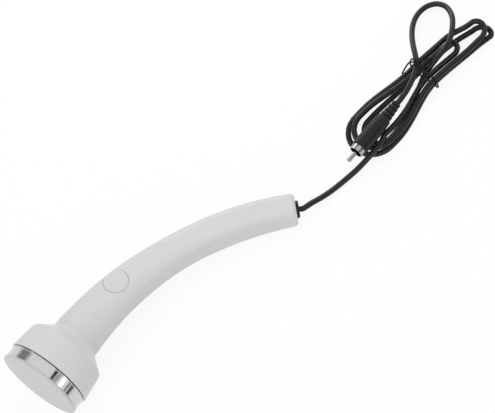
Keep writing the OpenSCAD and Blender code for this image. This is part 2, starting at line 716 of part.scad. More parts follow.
module plug_pin() {
    l = shield_in + shield_out + pin_out;
    tip = 1.2;
    color("silver") at_plug(boot_l + barrel_l - shield_in) rotate_extrude() polygon(concat(
        [[0, 0], [pin_root_r, 0], [pin_root_r, insulator_l + run], [pin_r, insulator_l + run]],
        arc(pin_r - tip, l - tip, tip, 0, 90, 5), [[0, l]]
    ));
}

front_shell();
rear_shell();
head_housing();
chrome_bezel();
face_plate();
head_gasket();
snap_ring();
piezo_disc();
head_signal_wire();
head_ground_wire();
button_cap();
switch_plunger();
switch_body();
switch_board();
board_screws();
shell_screws();
cable_gland();
cord_clamp();
clamp_screws();
inner_lead();
lead_signal_wire();
lead_ground_wire();
cord_lead();
cord_hank();
cord_tail();
cord_tie();
plug_boot();
plug_barrel();
plug_shield();
plug_insulator();
plug_pin();
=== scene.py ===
"""Looks of the handheld wand massager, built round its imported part.

Lengths are in millimetres, as in the part, until mm() makes metres of them. The camera, the lamps and the
stage are placed in metres. Angles are in radians, except where a comment says degrees.
"""
import json
from math import acos, atan2, cos, hypot, pi, radians, sin, sqrt, tan

import bpy
from mathutils import Euler, Matrix, Vector
from mathutils.bvhtree import BVHTree
from mathutils.geometry import delaunay_2d_cdt


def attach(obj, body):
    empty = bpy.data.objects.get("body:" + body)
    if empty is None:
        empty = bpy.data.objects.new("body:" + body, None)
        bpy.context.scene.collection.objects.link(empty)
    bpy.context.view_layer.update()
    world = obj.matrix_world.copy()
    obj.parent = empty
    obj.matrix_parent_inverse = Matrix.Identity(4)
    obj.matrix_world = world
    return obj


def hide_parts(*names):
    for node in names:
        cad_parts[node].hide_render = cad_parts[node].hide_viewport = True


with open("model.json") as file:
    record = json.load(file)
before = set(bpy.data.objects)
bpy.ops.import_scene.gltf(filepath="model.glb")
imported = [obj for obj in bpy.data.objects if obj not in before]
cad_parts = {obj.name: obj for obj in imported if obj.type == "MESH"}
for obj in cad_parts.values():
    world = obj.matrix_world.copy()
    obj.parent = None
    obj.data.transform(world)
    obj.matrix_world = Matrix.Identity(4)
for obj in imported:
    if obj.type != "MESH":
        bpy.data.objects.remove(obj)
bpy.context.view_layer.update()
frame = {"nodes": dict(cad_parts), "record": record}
scene = bpy.context.scene
scene.view_settings.view_transform = "Standard"


def mm(p):
    """A point in metres, from millimetres."""
    return Vector(p) * 0.001


# ---------------------------------------------------------------- camera
camera = bpy.data.objects.new("camera", bpy.data.cameras.new("camera"))
camera.data.sensor_width = 36
camera.data.lens = 155.447
camera.data.clip_start = 0.05
camera.location = (-0.07576, -0.60448, 1.31346)
camera.rotation_euler = Euler((radians(24.27), radians(10.31), radians(-35.895)), "XYZ")
scene.collection.objects.link(camera)
scene.camera = camera

# ---------------------------------------------------------------- sizes, as in the part
head_d = 60  # diameter of the head at its rim
head_l = 32  # from the rim to the seam at the grip
shoulder_d = 55.6  # diameter of the head at its shoulder
face_out = 10  # how far the bezel and the face stand out of the housing
face_t = 1.4
head_wall = 2.6
grip_l = 175  # along the centre line
bend_r = 217
neck_d = 33.8
thumb_w = 27  # width and depth of the grip at the button
thumb_t = 26.4
end_w = 19.2  # width and depth of the grip at its end
end_round = 3
button_d = 17.4
button_turn = 10  # degrees toward the outside of the bend
gland_r = 6
gland_out = 2
lead_d = 4
tie_d = 1.2
barrel_d = 12
barrel_l = 28
pin_d = 3.2

straight_l = face_out + head_l
wand_l = straight_l + grip_l
rim_x = face_out
rim_r = head_d / 2
shoulder_x = rim_x + 0.6 * head_l
neck_x = rim_x + 0.86 * head_l
face_r = rim_r - 0.7


# Places along the wand are given by s, the distance from the face along the centre line.
def turn_at(s):
    return 0 if s < straight_l else (s - straight_l) / bend_r


def centre_at(s):
    if s < straight_l:
        return Vector((s, 0, 0))
    a = turn_at(s)
    return Vector((straight_l + bend_r * sin(a), bend_r * (cos(a) - 1), 0))


def on_wand(s, v, w):
    """A point of the cross-section at s, v across it in the bend's plane and w above that plane."""
    a = turn_at(s)
    return centre_at(s) + Vector((v * sin(a), v * cos(a), w))


# How the wand lies: on its back, on the rim of the head and the end of the grip, its chord along x
end_at = centre_at(wand_l)
end_way = Vector((cos(turn_at(wand_l)), -sin(turn_at(wand_l)), 0))
chord_turn = atan2(-end_at.y, end_at.x)
chord_l = end_at.length
end_turn = turn_at(wand_l) - chord_turn
lay_pitch = atan2(rim_r - end_w / 2 - 0.2, chord_l - end_round - rim_x * cos(chord_turn))
lay_lift = (rim_x * cos(chord_turn) * sin(lay_pitch)
            + rim_r * sqrt(1 - (sin(lay_pitch) * cos(chord_turn)) ** 2))
middle_x = (chord_l + gland_out * cos(end_turn) + gland_r * sin(end_turn) - face_r * sin(chord_turn)) / 2
middle_y = (shoulder_x * sin(chord_turn) + shoulder_d / 2 * cos(chord_turn) - face_r * cos(chord_turn)) / 2
lay_by = Vector((0.6 - middle_x, -1 - middle_y, lay_lift))
lay_turn = Matrix.Rotation(lay_pitch, 3, "Y") @ Matrix.Rotation(chord_turn, 3, "Z")


def laid(p):
    """A point of the wand where the wand lies."""
    return lay_turn @ Vector(p) + lay_by


# ---------------------------------------------------------------- routes of the cords
# The hank's own frame: x along it from the waist, y to its left, z up from the surface
hank_at = Vector((236, 19, 0))
hank_rot = Matrix.Rotation(radians(9), 3, "Z")


def from_hank(p):
    return hank_rot @ Vector(p) + hank_at


# One tube winds out on the upper layer of the hank and back in on the lower one. t counts turns; a turn is a
# run to the far lobe, its fold, a run back and the near lobe's fold.
# A pair (a, b) is a size that grows with the nest q, counted from the inside: a + b q.
hank_turns = 3.1
hank_steps = 72  # points in a turn
run_share = 0.3  # share of a turn in each run
fold_share = 0.2  # share of a turn in each fold
turn_back = 1.65  # turn at which the winding goes down to the lower layer
down_share = 0.3  # share of a turn in which it goes down
nest_out = 1.9
layer_step = lead_d + 0.65
near_reach = (47, 4)  # from the waist to the middles of the folds
far_reach = (13, 21)
far_even = 30  # the far lobe draws in from here
far_draw = 19  # over this length
near_right = (9.8, 4.8)  # sides of the lobes and of the waist
near_left = (1.8, 8.8)
waist_right = (0.6, 4.8)
waist_left = (2.2, 4.7)
far_right = (0.9, 3.8)
far_left = (4.4, 1.4)
far_bow = 0.0013  # sideways bow of the far lobe, and more of it on the lower layer
low_bow = 0.0010
low_reach = 13  # how much further the lower layer's far fold reaches
high_near = 2.4  # how far the upper layer's near lobe stands out to the left
near_sink = 0.4  # how far the upper layer sinks between the near folds below it
sink_from = 40  # from here on, over this length
sink_l = 15
first_rise = 3.4  # how high the first run starts over the near folds
rise_share = 0.12  # share of a turn in which it comes down
tie_room = tie_d + 0.4  # room for the tie under the waist
tie_lift_l = 26  # from the waist to where the hank lies flat again


def ease(u):
    v = min(max(u, 0), 1)
    return v * v * (3 - 2 * v)


def grown(pair, q):
    return pair[0] + pair[1] * q


def nest(t):
    return nest_out - abs(t - turn_back)


def low(t):
    """0 on the upper layer, 1 on the lower one."""
    return ease((t - turn_back + down_share / 2) / down_share)


def side(t, x, waist, near, far):
    """Distance of a run from the hank's middle line."""
    q = nest(t)
    fold = grown(near if x < 0 else far, q)
    share = -x / near_reach[0] if x < 0 else (x - far_even) / far_draw
    return grown(waist, q) + (fold - grown(waist, q)) * ease(share)


def bow(t, x):
    return -(far_bow + low_bow * low(t)) * max(x, 0) ** 2


def right_y(t, x):
    return bow(t, x) - side(t, x, waist_right, near_right, far_right)


def left_y(t, x):
    stand_out = high_near * (1 - low(t)) * ease(-x / near_reach[0])
    return bow(t, x) + side(t, x, waist_left, near_left, far_left) + stand_out


def fold_point(t, x, way, a):
    """A point at angle a of the fold about x; way is 1 at the far lobe and -1 at the near one."""
    r = (left_y(t, x) - right_y(t, x)) / 2
    y = (left_y(t, x) + right_y(t, x)) / 2
    return x + way * r * sin(a), y - way * r * cos(a)


def hank_plan(t):
    u = t % 1
    half = run_share + fold_share
    near = -grown(near_reach, nest(t))
    far = grown(far_reach, nest(t)) + low_reach * low(t)
    if u < run_share:
        x = near + (far - near) * u / run_share
        return x, right_y(t, x)
    if u < half:
        return fold_point(t, far, 1, pi * (u - run_share) / fold_share)
    if u < half + run_share:
        x = far - (far - near) * (u - half) / run_share
        return x, left_y(t, x)
    return fold_point(t, near, -1, pi * (u - half - run_share) / fold_share)


def hank_height(t, x):
    upper = (layer_step - near_sink * ease((-x - sink_from) / sink_l)) * (1 - low(t))
    start = first_rise * (1 - ease(t / rise_share))
    return lead_d / 2 + 0.1 + upper + start + tie_room * (1 - ease(abs(x) / tie_lift_l))


def hank_point(t):
    x, y = hank_plan(t)
    return from_hank((x, y, hank_height(t, x)))


def catmull(points, steps):
    """A smooth curve through the points, with steps stretches between each two."""
    points = [Vector(p) for p in points]
    ends = [2 * points[0] - points[1]] + points + [2 * points[-1] - points[-2]]
    out = []
    for i in range(len(points) - 1):
        a, b, c, d = ends[i:i + 4]
        for k in range(steps):
            u = k / steps
            out.append(0.5 * (2 * b + (c - a) * u + (2 * a - 5 * b + 4 * c - d) * u * u
                              + (3 * b - a - 3 * c + d) * u ** 3))
    return out + [points[-1]]


gland_face = laid(end_at + gland_out * end_way)
gland_way = (lay_turn @ end_way).normalized()
hank_middle = [hank_point(i / hank_steps) for i in range(int(hank_turns * hank_steps) + 1)]
hank_first = hank_middle[0] - lead_d * (hank_rot @ Vector((1, 0, 0)))
hank_last = hank_middle[-1] + lead_d * (hank_middle[-1] - hank_middle[-2]).normalized()

plug_at = Vector((206.3, 11.4, 14.2))  # where the lead enters the boot
plug_turn = radians(195.5)
plug_rise = radians(4)
plug_way = Vector((cos(plug_turn) * cos(plug_rise), sin(plug_turn) * cos(plug_rise), sin(plug_rise)))

lead_points = [
    (118, -7.2, 7.8), (126, -7, 5), (134.5, -6.5, 2.8), (143, -6, 2.2), (151, -5.8, 2.8), (158, -6, 4.8),
    (164.5, -6.1, 7.8), (170, -5.8, 9.8), (175.5, -4.9, 11), (181, -3.2, 10.6)]
tail_points = [
    (-12, -2.8, 3.2), (-6.5, -0.9, 3.9), (-1, 0.9, 5.2), (4.5, 1.6, 7), (10, 1.7, 9), (15.5, 1.6, 10.9),
    (21, 1.6, 12.1), (27, 2.8, 12.4), (33, 5.8, 12.2), (38.5, 9.8, 11.4), (43.5, 14.6, 10),
    (47, 20.4, 8.2), (48.6, 27, 6.4), (46.6, 33.2, 5.2), (41.5, 37.2, 4.6), (35, 38.3, 4.6),
    (28, 36.6, 5.4), (21.4, 32.6, 6.8), (15.4, 27, 8.6), (10.4, 21, 10.4), (6, 14.8, 12),
    (1.6, 9.4, 13), (-3.6, 5.2, 13.4), (-9.4, 2.2, 13.8), (-15.4, 0, 13.9), (-20.6, -1.4, 13.8)]
tie_points = [
    (-11, 11.4, 11.2), (-7, 12.2, 12.4), (-3.2, 12.4, 13.8), (-1.2, 11, 15.4), (-0.8, 8, 16.4),
    (-0.5, 4.4, 15.8), (-0.2, 0.4, 14.3), (0.2, -3.6, 13), (0.5, -7.7, 11.7), (0.6, -10.2, 9.8),
    (0.6, -10.6, 6.2), (0.6, -10.8, 2.3), (0.5, -9.7, 0.76), (0.3, -5, 0.7), (0, -1, 0.7),
    (-0.2, 3, 0.7), (-0.4, 7, 0.7), (-0.5, 10.8, 1.2), (-0.4, 13.6, 3.4), (0, 14.3, 6.6),
    (0.3, 14.2, 9.6), (0.5, 13.6, 12.2), (0.6, 12.8, 14.6), (1, 10.8, 16.2), (2, 7.6, 16.5),
    (3.8, 5.4, 15.6), (7, 4.4, 14.8), (10, 3.2, 14.4), (13.2, 1.8, 14.4)]

lead_route = [gland_face, gland_face + 3 * gland_way] + lead_points + [hank_first, hank_middle[0]]
tail_route = [hank_middle[-1], hank_last] + [from_hank(p) for p in tail_points]
tail_route += [plug_at - lead_d * plug_way, plug_at]
# lead, hank and tail are one length
lead_line = catmull(lead_route, 5)[:-1] + hank_middle + catmull(tail_route, 5)[1:]
tie_line = catmull([from_hank(p) for p in tie_points], 4)


# ---------------------------------------------------------------- materials
def blank_tree(owner):
    """The emptied node tree of a material or a world."""
    owner.use_nodes = True
    owner.node_tree.nodes.clear()
    return owner.node_tree


def add(tree, kind, inputs=(), **settings):
    """A new node, with its own settings and the values of its input sockets."""
    node = tree.nodes.new("ShaderNode" + kind)
    for setting, value in settings.items():
        setattr(node, setting, value)
    for socket, value in dict(inputs).items():
        node.inputs[socket].default_value = value
    return node


noise_span = (0.3, 0.7)  # a noise texture hardly leaves this range
edge_span = (0.52, 0.62)  # Pointiness from a plain face to a sharp edge, which gets a lighter tone


def material(name, colour, rough, metallic=0.0, shade=0.03, rough_range=0.05, grain=0.25, depth=0.01,
             mottle=6.0, gloss=0.5, coat=0.0, edge_lightening=0.0):
    """A finish with a broad pattern in its colour and roughness and a fine grain in its bump.

    colour is linear and shade is the share by which it varies. mottle and grain are the sizes of the broad
    and the fine pattern, and depth is the height of the grain. The last argument is how much of a lighter
    tone sharp edges get, found by Pointiness.
    """
    made = bpy.data.materials.new(name)
    tree = blank_tree(made)
    link = tree.links.new
    place = add(tree, "TexCoord").outputs["Object"]

    def noise(size, detail, seed):
        node = add(tree, "TexNoise", {"Scale": 1000 / size, "Detail": detail, "Roughness": 0.55, "W": seed},
                   noise_dimensions="4D")
        link(place, node.inputs["Vector"])
        return node.outputs["Fac"]

    def spread(value, span, low_end, high_end):
        node = add(tree, "MapRange", {"From Min": span[0], "From Max": span[1],
                                      "To Min": low_end, "To Max": high_end})
        link(value, node.inputs["Value"])
        return node.outputs["Result"]

    ramp = add(tree, "ValToRGB")
    for stop, position, share in zip(ramp.color_ramp.elements, noise_span, (1 - shade, 1 + shade)):
        stop.position = position
        stop.color = (*[min(c * share, 1) for c in colour], 1)
    link(noise(mottle, 3, 1.3), ramp.inputs["Fac"])
    base = ramp.outputs["Color"]
    # a lighter tone on sharp edges, found by Pointiness
    if edge_lightening:
        lighter = (*[min(c * 1.8 + 0.02, 1) for c in colour], 1)
        mix = add(tree, "Mix", data_type="RGBA")
        tone_a, tone_b, mixed = mix.inputs[6], mix.inputs[7], mix.outputs[2]  # the colour sockets
        tone_b.default_value = lighter
        pointiness = add(tree, "NewGeometry").outputs["Pointiness"]
        link(spread(pointiness, edge_span, 0, edge_lightening), mix.inputs["Factor"])
        link(base, tone_a)
        base = mixed
    bump = add(tree, "Bump", {"Strength": 1, "Distance": depth * 0.001})
    link(noise(grain, 2, 4.1), bump.inputs["Height"])
    shader = add(tree, "BsdfPrincipled", {"Metallic": metallic, "IOR": 1.5, "Specular IOR Level": gloss,
                                          "Coat Weight": coat, "Coat Roughness": 0.1})
    roughness = spread(noise(mottle * 0.4, 4, 7.7), noise_span, rough - rough_range, rough + rough_range)
    link(base, shader.inputs["Base Color"])
    link(roughness, shader.inputs["Roughness"])
    link(bump.outputs[0], shader.inputs["Normal"])
    link(shader.outputs[0], add(tree, "OutputMaterial").inputs[0])
    return made


light_grey = (0.78, 0.78, 0.785)
near_black = (0.012, 0.012, 0.0125)
white = material("white_plastic", light_grey, 0.42, shade=0.012, grain=0.5, depth=0.006, mottle=14)
button_white = material("button_plastic", light_grey, 0.36, shade=0.012, grain=0.4, depth=0.004, mottle=9)
face_satin = material("face_satin", (0.635, 0.635, 0.635), 0.36, metallic=0.2, shade=0.02, grain=0.3,
                      depth=0.004)
chrome = material("chrome", (0.6, 0.605, 0.61), 0.1, metallic=1, shade=0.02, rough_range=0.02, grain=3,
                  depth=0.004)
nickel = material("nickel", (0.42, 0.415, 0.405), 0.16, metallic=1, shade=0.05, rough_range=0.06, grain=0.3,
                  depth=0.002)
# black rubber with a lighter tone on its sharp edges
rubber = material("black_rubber", near_black, 0.44, shade=0.2, grain=0.2, mottle=3, gloss=0.25, edge_lightening=0.3)
pvc = material("lead_pvc", near_black, 0.26, shade=0.2, grain=0.35, depth=0.005, mottle=5, gloss=0.34)
tie_black = material("tie_plastic", (0.008, 0.008, 0.0085), 0.36, shade=0.2, grain=0.3, mottle=3, gloss=0.2)
steel = material("steel", (0.55, 0.55, 0.56), 0.28, metallic=1, shade=0.06, grain=0.2, depth=0.003)
brass = material("brass", (0.72, 0.52, 0.22), 0.3, metallic=1, shade=0.06, grain=0.3, depth=0.003)
board_green = material("board_green", (0.015, 0.12, 0.04), 0.35, shade=0.1, grain=0.3, depth=0.006, coat=0.3)
red_wire = material("red_wire", (0.5, 0.02, 0.02), 0.4, shade=0.08, grain=0.3, depth=0.005)
dark_plastic = material("dark_plastic", (0.06, 0.06, 0.065), 0.45, shade=0.1, grain=0.3, depth=0.008)
ivory = material("switch_cream", (0.35, 0.34, 0.31), 0.45, shade=0.05, grain=0.3, depth=0.006)

finish_of = {
    "shell": white, "button": button_white, "bezel": chrome, "face": face_satin, "gasket": rubber,
    "steel": steel, "piezo": brass, "wire_red": red_wire, "wire_black": rubber,
    "switch_plunger": dark_plastic, "switch": ivory, "board": board_green, "gland": rubber,
    "clamp": dark_plastic, "lead": pvc, "tie": tie_black, "plug": rubber, "contact": nickel,
    "insulator": rubber,
}

# every node of the part, shown or not, has the finish of its slot
for entry in frame["record"]["subparts"]:
    node_object = frame["nodes"][entry["node"]]
    if not node_object.material_slots:
        node_object.data.materials.append(finish_of[entry["material_slot"]])
    for material_slot in node_object.material_slots:
        material_slot.material = finish_of[entry["material_slot"]]


# ---------------------------------------------------------------- how pieces are made
def piece_from(data, body, slot, *nodes):
    """A piece of a curve or a mesh, which rides on a body and stands for nodes."""
    piece = bpy.data.objects.new(data.name, data)
    scene.collection.objects.link(piece)
    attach(piece, body)
    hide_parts(*nodes)
    data.materials.append(finish_of[slot])
    return piece


def cord_piece(name, line, d, round_steps, slot, *nodes):
    data = bpy.data.curves.new(name, "CURVE")
    data.dimensions = "3D"
    data.bevel_depth = 1  # each point's radius is the cord's
    data.bevel_resolution = round_steps
    data.use_fill_caps = True
    spline = data.splines.new("POLY")
    spline.points.add(len(line) - 1)
    for point, p in zip(spline.points, line):
        point.co = (*mm(p), 1)
        point.radius = d / 2 * 0.001
    spline.use_smooth = True
    return piece_from(data, "wand", slot, *nodes)


def mesh_piece(name, verts, faces, slot, node, body="wand"):
    """A mesh with smooth faces, whose edges of over 38 degrees stay sharp."""
    data = bpy.data.meshes.new(name)
    data.from_pydata([mm(v) for v in verts], [], faces)
    data.validate()
    for poly in data.polygons:
        poly.use_smooth = True
    data.set_sharp_from_angle(angle=radians(38))
    return piece_from(data, body, slot, node)


def rounded(corners, steps):
    """(x, r) points from corners (x, r, fillet), where each fillet is an arc of steps stretches."""
    out = []
    for i, (x, r, fillet) in enumerate(corners):
        if not fillet or i in (0, len(corners) - 1):
            out.append((x, r))
            continue
        corner = Vector((x, r))
        before = Vector(corners[i - 1][:2]) - corner
        after = Vector(corners[i + 1][:2]) - corner
        u, v = before.normalized(), after.normalized()
        half = acos(max(-1, min(1, u.dot(v)))) / 2
        fillet = min(fillet, 0.49 * tan(half) * min(before.length, after.length))
        middle = corner + (u + v).normalized() * fillet / sin(half)
        first = corner + u * fillet / tan(half) - middle
        last = corner + v * fillet / tan(half) - middle
        a0 = atan2(first.y, first.x)
        turn = (atan2(last.y, last.x) - a0 + pi) % (2 * pi) - pi
        for k in range(steps + 1):
            a = a0 + turn * k / steps
            out.append((middle.x + fillet * cos(a), middle.y + fillet * sin(a)))
    return out


def band(a, b, flip=False):
    """Faces between two closed rings of point numbers; a ring that is one point repeats its number."""
    faces = []
    for k in range(len(a)):
        j = (k + 1) % len(a)
        corners = (a[k], b[k], b[j], a[j]) if flip else (a[k], a[j], b[j], b[k])
        face = list(dict.fromkeys(corners))
        if len(face) > 2:
            faces.append(face)
    return faces


def lathe(name, origin, axis, corners, steps, around, slot, node):
    """Turns the rounded corners about the axis, with around points to a ring."""
    axis = axis.normalized()
    u = axis.cross(Vector((0, 0, 1))).normalized()
    v = axis.cross(u)
    verts, rings, faces = [], [], []
    for x, r in rounded(corners, steps):
        first = len(verts)
        if r < 1e-6:
            rings.append([first] * around)
            verts.append(origin + axis * x)
            continue
        rings.append(list(range(first, first + around)))
        for k in range(around):
            a = 2 * pi * k / around
            verts.append(origin + axis * x + r * (cos(a) * u + sin(a) * v))
    for a, b in zip(rings, rings[1:]):
        faces += band(a, b)
    return mesh_piece(name, verts, faces, slot, node)


lead = cord_piece("lead_cable", lead_line, lead_d, 6, "lead", "cord_lead", "cord_hank", "cord_tail")
tie = cord_piece("wire_tie", tie_line, tie_d, 3, "tie", "cord_tie")

# ---------------------------------------------------------------- head and gland
head_origin = laid((0, 0, 0))
head_axis = lay_turn @ Vector((1, 0, 0))
slip = 0.1
mouth_r = rim_r - head_wall
mouth_l = 8
spigot_r = 12.5
spigot_bore_r = 9.5
spigot_l = 8
shoulder_round = 4
neck_round = 5
seam_round = 0.08
bezel_r = rim_r - 1
bezel_bore_r = mouth_r - 2.5
bezel_back = rim_x - 0.6
bezel_end = rim_x + 10
bead_r = bezel_r + 0.35
gasket_r = rim_r - 1
face_spigot_r = bezel_bore_r - slip
face_back = face_t + 3

lathe("bell_housing", head_origin, head_axis, [
    (rim_x + mouth_l, mouth_r, 0), (rim_x, mouth_r, 0.3), (rim_x, rim_r, 0.8),
    (shoulder_x, shoulder_d / 2, shoulder_round), (neck_x, neck_d / 2, neck_round),
    (straight_l, neck_d / 2, seam_round),
    (straight_l, spigot_r + slip, 0.2), (straight_l + spigot_l, spigot_r, 0.4),
    (straight_l + spigot_l, spigot_bore_r, 0)], 10, 192, "shell", "head_housing")
# a plain band with a rolled bead at its back
lathe("bezel_band", head_origin, head_axis, [
    (bezel_end, bezel_bore_r, 0), (face_t, bezel_bore_r, 0), (face_t, bezel_r, 0.35),
    (bezel_back - 1, bezel_r, 0.1), (bezel_back - 0.9, bead_r, 0.3), (bezel_back, bead_r, 0.3),
    (bezel_back, mouth_r - slip, 0), (bezel_end, mouth_r - slip, 0), (bezel_end, bezel_bore_r, 0)],
    8, 256, "bezel", "chrome_bezel")
lathe("treatment_disc", head_origin, head_axis, [
    (0, 0, 0), (0, face_r, 1.1), (face_t, face_r, 0.15), (face_t, face_spigot_r, 0),
    (face_back, face_spigot_r, 0.3), (face_back, 0, 0)], 10, 256, "face", "face_plate")
lathe("rim_gasket", head_origin, head_axis, [
    (bezel_back, mouth_r, 0), (bezel_back, gasket_r, 0.15), (rim_x, gasket_r, 0.15), (rim_x, mouth_r, 0)],
    5, 192, "gasket", "head_gasket")

gland_bore_r = lead_d / 2 + 0.2
gland_neck_r = 4
gland_neck_l = 2.5
gland_flange_r = 5.4
gland_in = 4.4
lathe("gland_collar", laid(end_at), gland_way, [
    (-gland_in, gland_bore_r, 0), (gland_out, gland_bore_r, 0.5), (gland_out, gland_r, 0.9),
    (0, gland_r, 0.2), (0, gland_neck_r, 0), (-gland_neck_l, gland_neck_r, 0),
    (-gland_neck_l, gland_flange_r, 0.2), (-gland_in, gland_flange_r, 0.3), (-gland_in, gland_bore_r, 0)],
    7, 96, "gland", "cable_gland")

# ---------------------------------------------------------------- plug
boot_l = 14
boot_small_r = 3.1
boot_large_r = 4.2
boot_ribs = 4
boot_step = boot_l / boot_ribs
rib_l = boot_step - 1.1
groove_in = 0.75
barrel_r = barrel_d / 2
waist_r = barrel_r - 0.12
cuff_l = 2.6  # the full barrel at its front
shield_r = 4.9
shield_bore_r = 4.2
shield_in = 4
shield_l = 8.2
insulator_l = 2.5
pin_r = pin_d / 2
pin_root_r = pin_r - 0.4
pin_root_l = 2.8
pin_l = 16.5
barrel_at = plug_at + boot_l * plug_way
shield_at = plug_at + (boot_l + barrel_l - shield_in) * plug_way

boot_corners = [(0, lead_d / 2 + 0.05, 0)]
for i in range(boot_ribs):
    x = i * boot_step
    r = boot_small_r + (boot_large_r - boot_small_r) * i / (boot_ribs - 1)
    boot_corners += [(x, r, 0.35), (x + rib_l, r, 0.35), (x + rib_l, r - groove_in, 0.25),
                     (x + boot_step, r - groove_in, 0.25)]
boot_corners += [(boot_l + 0.2, 3.4, 0), (boot_l + 0.2, 2, 0)]

boot = lathe("boot_relief", plug_at, plug_way, boot_corners, 5, 64, "plug", "plug_boot")
barrel = lathe("barrel_grip", barrel_at, plug_way, [
    (0, 0, 0), (0, barrel_r - 1, 1.1), (barrel_l * 0.3, waist_r, 6), (barrel_l - cuff_l - 0.6, waist_r, 0.3),
    (barrel_l - cuff_l, barrel_r, 0.3), (barrel_l, barrel_r, 0.5), (barrel_l, shield_r, 0.2),
    (barrel_l - shield_in, shield_r, 0)], 7, 96, "plug", "plug_barrel")
# a ring with a shallow groove near its open end
shield = lathe("outer_contact", shield_at, plug_way, [
    (0, shield_bore_r, 0), (0, shield_r, 0.1), (6, shield_r, 0.3), (6.9, shield_r - 0.12, 0.3),
    (shield_l, shield_r - 0.04, 0.2), (shield_l, shield_bore_r + 0.05, 0.2), (0, shield_bore_r, 0)],
    5, 96, "contact", "plug_shield")
# a disc with a shallow dish round the pin
insulator = lathe("inner_disc", shield_at, plug_way, [
    (0, pin_root_r, 0), (0, shield_bore_r, 0), (insulator_l, shield_bore_r, 0.3), (insulator_l, 2.4, 0.1),
    (2.2, 2.2, 0.1), (2.2, pin_root_r, 0)], 3, 64, "insulator", "plug_insulator")
pin = lathe("centre_contact", shield_at, plug_way, [
    (0, 0, 0), (0, pin_root_r, 0), (pin_root_l, pin_root_r, 0), (pin_root_l, pin_r, 0.15),
    (pin_l, pin_r, 1.2), (pin_l, 0, 0)], 8, 48, "contact", "plug_pin")

# ---------------------------------------------------------------- grip shells
# The grip's section has a width, a depth and a corner radius at each station, with smooth curves between.
stations = [straight_l + u * grip_l for u in (0, 0.25, 0.5, 0.74, 1)]
widths = [neck_d, thumb_w, thumb_w - 0.7 * (thumb_w - end_w), thumb_w - 0.86 * (thumb_w - end_w), end_w]
depths = [neck_d, thumb_t, thumb_t - 0.52 * (thumb_t - end_w), thumb_t - 0.65 * (thumb_t - end_w), end_w]
corner_rs = [neck_d / 2, 10, 6.5, 5.5, 5]
half_gap = 0.01  # half the gap between two shells
lip = 0.08  # rounding along the seams
lip_l = 1.6  # how far a shell's edge turns inward
rows = 150
across = 96  # faces across a shell
end_ring_rs = (0.28 * end_w, 0.231 * end_w)  # rings on the flat end, under the gland


def smooth_at(sizes, s):
    """The size at s, on a smooth curve through the stations' sizes."""
    last = len(stations) - 1

    def slope(k):
        before, after = max(k - 1, 0), min(k + 1, last)
        return (sizes[after] - sizes[before]) / (stations[after] - stations[before])

    i = 0
    while i < last - 1 and s > stations[i + 1]:
        i += 1
    h = stations[i + 1] - stations[i]
    u = min(max((s - stations[i]) / h, 0), 1)
    a, b, ma, mb = sizes[i], sizes[i + 1], slope(i) * h, slope(i + 1) * h
    return a + u * ma + u * u * (3 * (b - a) - 2 * ma - mb) + u ** 3 * (2 * (a - b) + ma + mb)


def outline_at(s, inset, angle):
    """The point (v, w) of the section at s, at an angle about the centre line, drawn in by inset."""
    u = max(0, s - (wand_l - end_round)) / end_round
    drawn = inset + end_round * (1 - sqrt(max(0, 1 - u * u)))
    half_w = smooth_at(widths, s) / 2 - drawn
    half_t = smooth_at(depths, s) / 2 - drawn
    r = max(min(half_w, half_t, smooth_at(corner_rs, s) - drawn), 1)
    c, z = abs(cos(angle)), abs(sin(angle))
    corner_v, corner_w = half_w - r, half_t - r
    if z * half_w <= c * corner_w:
        reach = half_w / c
    elif c * half_t <= z * corner_v:
        reach = half_t / z
    else:
        along = c * corner_v + z * corner_w
        reach = along + sqrt(max(0, along * along - corner_v ** 2 - corner_w ** 2 + r * r))
    return reach * cos(angle), reach * sin(angle)


def strip(a, b, sign):
    """Faces between two open rows of point numbers; sign is -1 on the lower shell, which faces down."""
    quads = [[a[j], a[j + 1], b[j + 1], b[j]] for j in range(len(a) - 1)]
    return quads if sign > 0 else [quad[::-1] for quad in quads]


def shell_grid(sign):
    """The points, last row and faces of one shell, from one parting line to the other, with rounded lips."""
    neck_s = straight_l + half_gap
    places = [(neck_s, lip_l), (neck_s, lip), (neck_s + 0.3 * lip, 0.3 * lip), (neck_s + lip, 0)]
    places += [(straight_l + 2 * half_gap + (grip_l - end_round) * i / rows, 0) for i in range(1, rows)]
    places += [(wand_l - end_round * (1 - sin(radians(a))), 0) for a in range(0, 90, 10)] + [(wand_l, 0)]
    lip_in = (0, 0.3 * lip, lip, lip_l)
    lip_up = (0.7 * lip, 0.3 * lip, 0, 0)
    verts, grid, faces = [], [], []
    for s, inset in places:
        first = len(verts)
        for k in range(-3, across + 4):
            over = max(-k, k - across, 0)
            angle = pi * min(max(k, 0), across) / across
            v, w = outline_at(s, inset + lip_in[over], sign * angle)
            if k <= 0 or k >= across:
                w = sign * (half_gap + lip_up[over])
            verts.append(laid(on_wand(s, v, w)))
        grid.append(list(range(first, len(verts))))
    for a, b in zip(grid, grid[1:]):
        faces += strip(a, b, sign)
    return verts, grid[-1], faces


def close_end(verts, row, faces, sign):
    """The flat end, from its rounded edge to the bore for the gland."""
    centre = laid(end_at)
    for r in end_ring_rs:
        ring = list(range(len(verts), len(verts) + len(row)))
        verts += [centre + (verts[i] - centre).normalized() * r for i in row]
        faces += strip(row, ring, sign)
        row = ring


# ---------------------------------------------------------------- hole and button
# The button's frame: z along its axis, which is turned about the centre line
button_s = straight_l + 0.24 * grip_l
button_at = laid(centre_at(button_s))
button_tilt = Matrix.Rotation(-turn_at(button_s), 3, "Z") @ Matrix.Rotation(radians(-button_turn), 3, "X")
button_rot = lay_turn @ button_tilt
button_ring_n = 144
hole_r = button_d / 2 + 0.16
hole_edge = 0.35
hole_l = 3
rim_of_hole_r = hole_r + hole_edge
cap_r = button_d / 2
cap_edge = 0.8
cap_proud = 0.4
cap_l = 4


def in_button(p):
    return button_rot.inverted() @ (p - button_at)


def from_button(x, y, z):
    return button_rot @ Vector((x, y, z)) + button_at


front_verts, front_row, front_faces = shell_grid(1)
front_form = BVHTree.FromPolygons(front_verts, front_faces)


